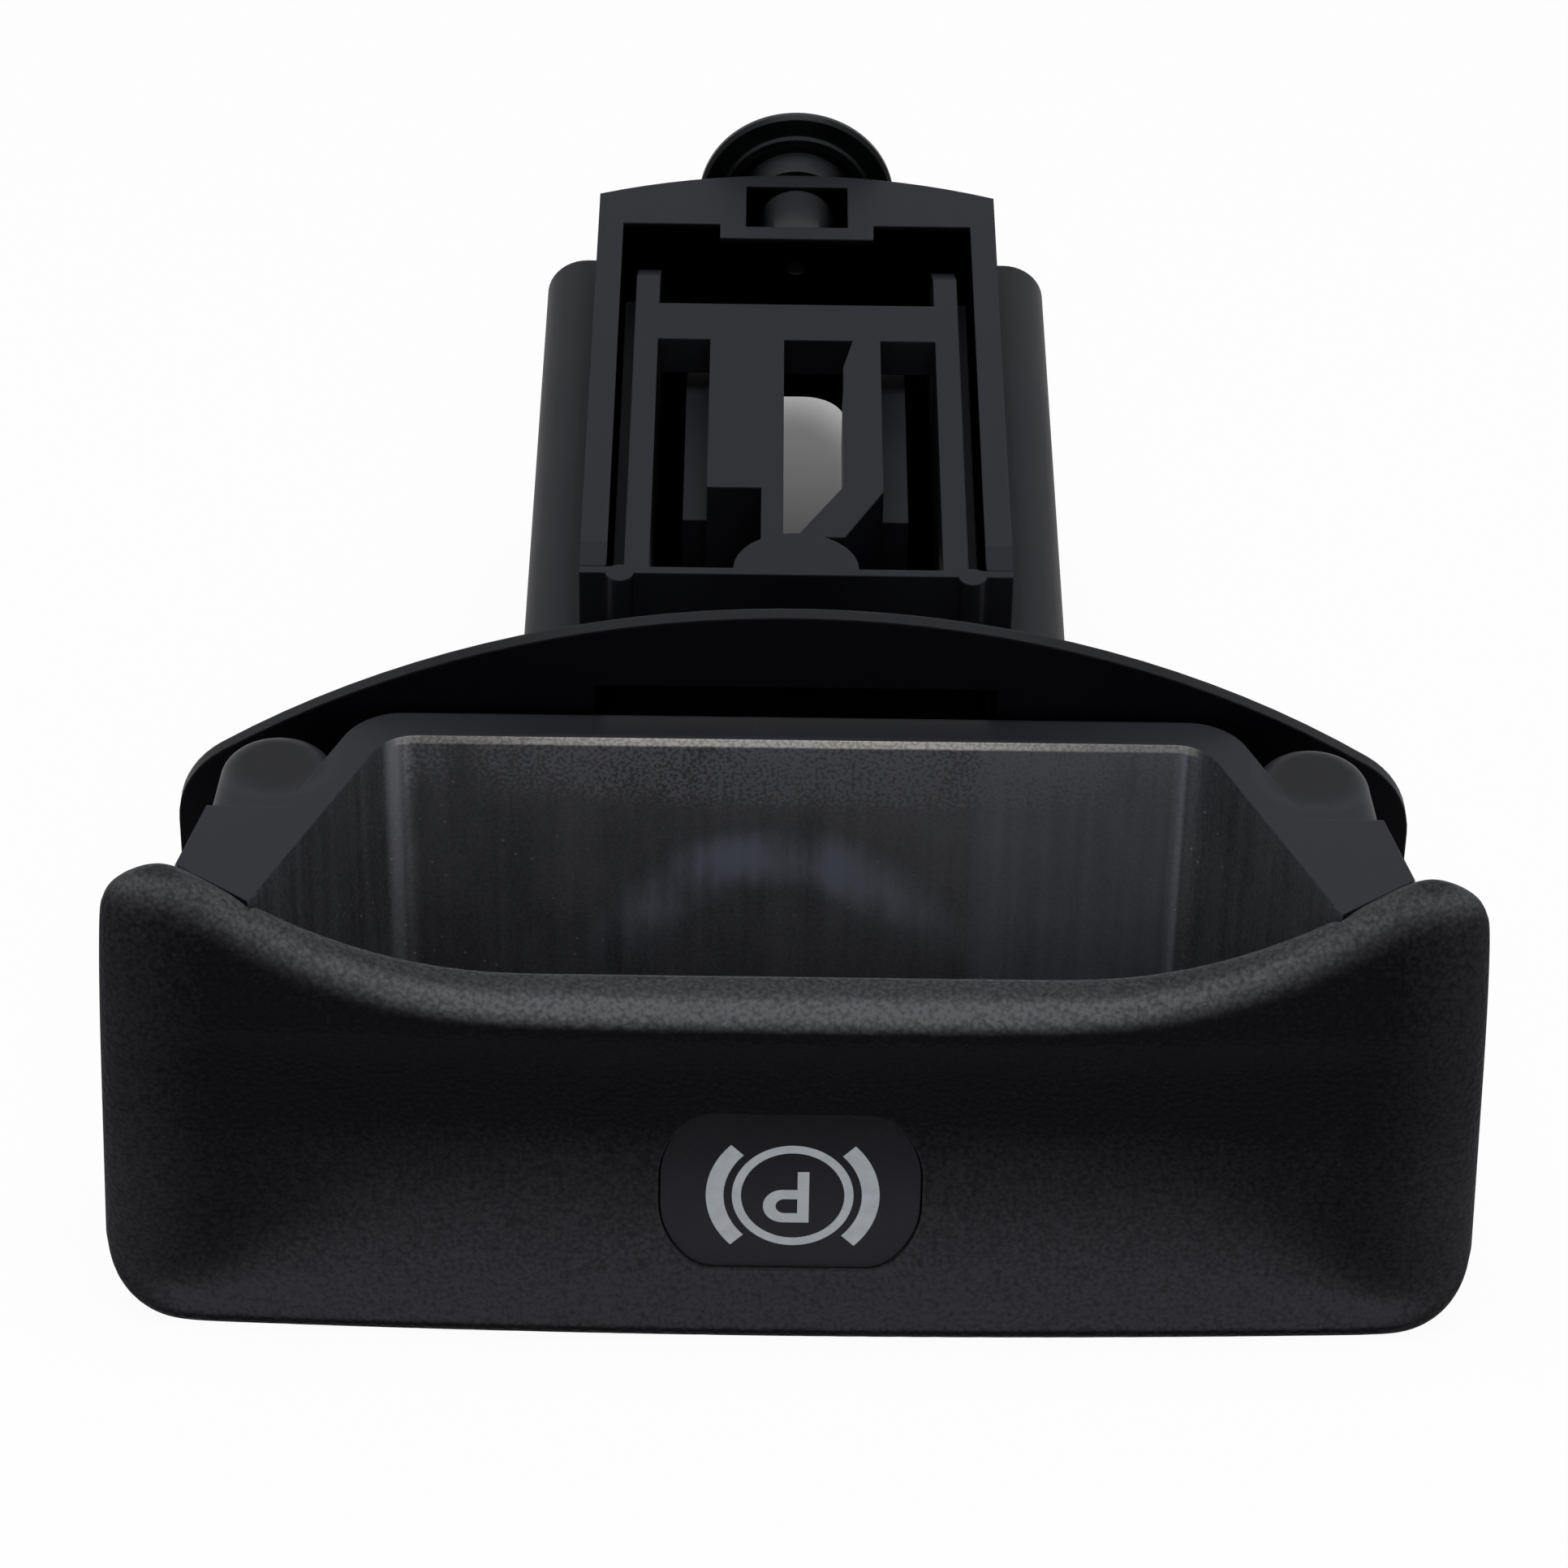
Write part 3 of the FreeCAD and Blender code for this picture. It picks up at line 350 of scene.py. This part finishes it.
# Painted light: faces that look up are painted lighter than the fronts, and edges lighter as both
# wear and highlight.
shade = up.between(0.1, 1.0) * (0.85 - post_and_rim_shade) + (cloud - 0.5) * 0.14
shade = shade + edge * 0.35 + dust * 0.6 + post_highlight
shade = shade.either(pocket.turned_away() * (0.3 + cloud * 0.25))
# Painted shade: the neck is painted black.
pocket.paint_slot_shade(along.between(*neck_front))
outer_colour = shade.tint(ink(8, 8, 12), ink(42, 43, 47))
inner_colour = wall_marks_and_sheen.tint(ink(34, 35, 39), ink(134, 135, 140))
# Painted reflection: the lit side and the arc are tinted bluish.
bluish = rear_wall * (side_reflection * 0.08 + arc_reflection * 0.36)
inner_colour = bluish.tint(inner_colour, ink(146, 160, 186))
pocket_colour = pale_edge_line.tint(inside.tint(outer_colour, inner_colour), ink(228, 225, 218))
pocket_gloss = 0.34 + cloud * 0.12 + blotch * 0.08
pocket_skin = drags * 0.5 + cloud
dress("pocket_shell", pocket.finish(pocket_colour, pocket_gloss, pocket_skin, 0.000018, 0.0002))


# Grip cover: the leather-grained outer face that the hand pulls, a moulding round the shell.
# The grain is moulded in. How the shell holds the cover is hidden in the photograph.

# The lip is painted lighter as a highlight along a band that rises to the ears, and the foot and
# the sides are painted lighter as light falls on them, in metres.
lip_rise, lip_turn, ear_rise = (0.0232, 0.0256), (0.013, 0.045), 0.0085
foot_top, side_turn = (0.015, 0.021), (0.040, 0.0505)

grip = Plastic("grip_grain", 0.035)
_, _, up = grip.parts(grip.facing)
across, _, level = grip.parts(grip.place)
outer = across.size()
pebble = grip.cells(2100)
fine = grip.noise(3000, 2)
patch = grip.noise(140, 3)
edge = grip.edge_wear_and_highlight(0.0003)
grain = pebble * 0.9 + fine * 0.6
flare = outer.between(*lip_turn)
# Painted light: the foot and the sides are painted lighter as light falls on them, the fronts
# darker, and the lip carries a painted highlight band, dimmer and higher towards the ears.
apron = up.between(-0.05, 0.23) * (1 - level.between(*foot_top))
apron = apron + outer.between(*side_turn) * 0.45
crown = (up - flare * 0.15).between(0.28, 0.72) * (1 - up.between(0.84, 0.99) * 0.55)
crown = crown * (0.95 - flare * 0.42) * (level - flare * flare * ear_rise).between(*lip_rise)
speckle = (fine.between(0.36, 0.64) - 0.5) * 0.9 + (0.45 - pebble) * 0.9
front = apron * (0.97 + speckle * 0.35) + speckle * 0.12 + (patch - 0.5) * 0.14
front_colour = front.tint(ink(10, 10, 14), ink(54, 54, 58))
lip = crown * (1 + speckle * 0.55) + edge * 0.2
grip_colour = lip.tint(front_colour, ink(89, 90, 92))
grip_gloss = 0.5 + fine * 0.25
dress("grip_cover", grip.finish(grip_colour, grip_gloss, grain, 0.00014, 0.0002))


# Symbol plate: a thin satin tablet let into the grip's recess, with the parking brake
# sign printed on it in pale grey. The sign is upside down from the front, as on the real one.
badge = Plastic("plate_satin", 0.07)
_, _, level = badge.parts(badge.place)
cloud = badge.noise(300, 3)
skin = badge.noise(5200, 2)
edge = badge.edge_wear_and_highlight(0.0003)
# Painted shade: the plate is painted darker towards its top, and its edges lighter as both wear
# and highlight, most along the top.
shade = 0.64 - level.between(0.009, 0.020) * 0.62 + (cloud - 0.5) * 0.25 + (skin - 0.5) * 0.3
shade = shade + edge * (0.2 + level.between(0.010, 0.017) * 0.9)
badge_colour = shade.tint(ink(18, 18, 23), ink(46, 46, 51))
badge_gloss = 0.42 + cloud * 0.12
dress("symbol_plate", badge.finish(badge_colour, badge_gloss, skin, 0.00002, 0.0002))

plate_lean = math.radians(5.6)
plate_centre = np.array([0.0, -0.04953, 0.01295])
sign_shift = np.array([-0.00017, 0.00043])
plate_right = np.array([-1.0, 0.0, 0.0])
plate_up = np.array([0.0, -math.sin(plate_lean), -math.cos(plate_lean)])
plate_out = np.array([0.0, -math.cos(plate_lean), math.sin(plate_lean)])
print_under = -0.02e-3
print_over = 0.04e-3


def printed(name, inner, outer, closed):
    """The print between two edges: point(i, j) is the plate's centre, plus the edge's own two
    numbers along the plate, plus the ink's level, with j going round the ink's section:
    inner edge low, inner edge high, outer edge high, outer edge low."""
    flat = np.stack([inner, inner, outer, outer], axis=1) + sign_shift
    level = np.array([print_under, print_over, print_over, print_under])
    points = (plate_centre + flat[..., :1] * plate_right + flat[..., 1:] * plate_up
              + level[None, :, None] * plate_out)
    count = len(inner)
    runs = count if closed else count - 1
    i, j = np.meshgrid(np.arange(runs), np.arange(4), indexing="ij")
    after, beside = (i + 1) % count, (j + 1) % 4
    quads = np.stack([i * 4 + j, i * 4 + beside, after * 4 + beside, after * 4 + j], axis=-1)
    quads = quads.reshape(-1, 4)
    if not closed:
        last = (count - 1) * 4
        quads = np.vstack([quads, [3, 2, 1, 0], [last, last + 1, last + 2, last + 3]])
    mesh = bpy.data.meshes.new(name)
    mesh.from_pydata(points.reshape(-1, 3).tolist(), [], quads.tolist())
    mesh.validate()
    mark = bpy.data.objects.new(name, mesh)
    bpy.context.scene.collection.objects.link(mark)
    mark.data.materials.append(print_finish)
    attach(mark, "handle")
    return mark


def arc(radius, start, end, count):
    """Points from start to end, in degrees: radius times cosine, radius times sine."""
    turn = np.radians(np.linspace(start, end, count))
    return radius * np.stack([np.cos(turn), np.sin(turn)], axis=1)


paint = Plastic("plate_print", 0.1)
cloud = paint.noise(900, 3)
paint_colour = cloud.tint(ink(158, 163, 168), ink(188, 192, 197))
print_finish = paint.finish(paint_colour, 0.5 + cloud * 0.1, cloud, 0.00001, 0.00005)

ring_radius = 4.39e-3
ring_stroke = 0.66e-3
ring_line = arc(1.0, 0, 360, 97)[:-1]
printed("symbol_ring", (ring_radius - ring_stroke) * ring_line, ring_radius * ring_line, True)

shoe_outer = 6.27e-3
shoe_inner = 4.99e-3
shoe_spread = 44.5
for side, middle in (("left", 180), ("right", 0)):
    edges = (middle - shoe_spread, middle + shoe_spread, 41)
    printed("symbol_shoe_" + side, arc(shoe_inner, *edges), arc(shoe_outer, *edges), False)

letter_wide = 3.32e-3
letter_high = 4.45e-3
letter_aside = 0.48e-3
letter_aloft = 0.14e-3
letter_stem = 0.84e-3
bowl_high = 2.86e-3
counter_wide = 1.56e-3
counter_high = 1.25e-3


def bowl(left, right, middle, half):
    """A letter's bowl: a half circle of radius half that ends at right, and straight runs
    from its two ends to left."""
    round_part = arc(half, -90, 90, 33) + [right - half, middle]
    return np.vstack([[left, middle - half], round_part, [left, middle + half], [left, middle]])


letter_left = letter_aside - letter_wide / 2
letter_top = letter_aloft + letter_high / 2
letter_foot = letter_top - letter_high
bowl_middle = letter_top - bowl_high / 2
counter_left = letter_left + letter_stem
printed("symbol_letter_bowl",
        bowl(counter_left, counter_left + counter_wide, bowl_middle, counter_high / 2),
        bowl(letter_left, letter_left + letter_wide, bowl_middle, bowl_high / 2), True)
stem_low = np.array([[letter_left, letter_foot], [letter_left, letter_top - bowl_high]])
printed("symbol_letter_stem", stem_low, stem_low + [letter_stem, 0], False)


# The stand: a wide pale floor under the handle. The camera and reflections see it as almost
# plain white, apart from a strip under the guide that is painted grey as a shadow and takes the
# real shadow too.
floor_half = 3.0
strip_front, strip_back, strip_fade = -0.020, 0.062, (0.004, 0.017)
floor_mesh = bpy.data.meshes.new("floor")
corners = floor_half * np.array([[-1, -1, 0], [1, -1, 0], [1, 1, 0], [-1, 1, 0]])
floor_mesh.from_pydata(corners.tolist(), [], [(0, 1, 2, 3)])
floor = bpy.data.objects.new("floor", floor_mesh)
bpy.context.scene.collection.objects.link(floor)
paper = bpy.data.materials.new("floor_paper")
paper.use_nodes = True
paper_tree = paper.node_tree
paper_tree.nodes.clear()
paper_root = Wire(paper_tree)


def seen(root):
    """1 for a ray that the camera or a reflection sees, 0 for light that is scattered."""
    path = root.node("LightPath").socket.node.outputs
    camera_ray = Wire(root.tree, path["Is Camera Ray"])
    glossy_ray = Wire(root.tree, path["Is Glossy Ray"])
    clear_ray = Wire(root.tree, path["Is Transmission Ray"])
    return camera_ray.either(glossy_ray).either(clear_ray)


white = paper_root.node("Emission", inputs={"Color": (1, 1, 1, 1), "Strength": 1.0})
spot = paper_root.node("TexCoord", output="Object")
spot_axes = paper_root.node("SeparateXYZ", inputs={"Vector": spot}).socket.node.outputs
spot_x, spot_y = Wire(paper_tree, spot_axes["X"]), Wire(paper_tree, spot_axes["Y"])
past_end = (spot_y - strip_back).either((spot_y - strip_front) * -1).either(0.0)
away = (spot_x * spot_x + past_end * past_end * 0.3) ** 0.5
open_floor = away.between(*strip_fade)
paleness = open_floor * 0.955
# Painted shadow: the strip under the guide is coloured dark grey.
floor_colour = open_floor.tint((0.22, 0.22, 0.22, 1), (0.8, 0.8, 0.8, 1))
scattered = paper_root.node("BsdfDiffuse", inputs={"Color": floor_colour})
floor_inputs = {0: seen(paper_root) * paleness, 1: scattered, 2: white}
lit_floor = paper_root.node("MixShader", inputs=floor_inputs)
paper_out = paper_tree.nodes.new("ShaderNodeOutputMaterial")
paper_tree.links.new(lit_floor.socket, paper_out.inputs["Surface"])
floor.data.materials.append(paper)


# The light: one wide soft panel overhead, a weaker one from the front, and a room that lights
# the handle as dim grey, while the camera and reflections see it as white.
def panel(name, place, aim, wide, deep, watts):
    """A soft rectangular lamp at place that faces aim."""
    lamp = bpy.data.lights.new(name, "AREA")
    lamp.shape = "RECTANGLE"
    lamp.size = wide
    lamp.size_y = deep
    lamp.energy = watts
    held = bpy.data.objects.new(name, lamp)
    held.location = place
    held.rotation_euler = (Vector(aim) - Vector(place)).to_track_quat("-Z", "Y").to_euler()
    bpy.context.scene.collection.objects.link(held)


panel("overhead_panel", (0.0, -0.12, 0.85), (0.0, 0.0, 0.0), 0.7, 0.5, 5.2)
panel("front_panel", (0.1, -0.9, 0.75), (0.0, -0.03, 0.02), 0.9, 0.5, 2.2)

room = bpy.data.worlds.new("room")
bpy.context.scene.world = room
room.use_nodes = True
room_tree = room.node_tree
room_root = Wire(room_tree)
sky = room_tree.nodes["Background"]
room_colour = seen(room_root).tint((0.22, 0.22, 0.23, 1), (1, 1, 1, 1))
room_tree.links.new(room_colour.socket, sky.inputs["Color"])
sky.inputs["Strength"].default_value = 1.0


# The camera, where the photograph was taken from: above and in front, held a little aslant.
camera_data = bpy.data.cameras.new("camera")
camera_data.sensor_width = 36.0
camera_data.lens = 125.3
camera_data.clip_start = 0.01
camera = bpy.data.objects.new("camera", camera_data)
bpy.context.scene.collection.objects.link(camera)
bpy.context.scene.camera = camera
camera.matrix_world = (Matrix.Translation((-0.0033, -0.34595, 0.273))
                       @ Matrix.Rotation(math.radians(-0.45), 4, "Z")
                       @ Matrix.Rotation(math.radians(53.0), 4, "X")
                       @ Matrix.Rotation(math.radians(1.0), 4, "Z"))

bpy.context.scene.view_settings.view_transform = "Standard"
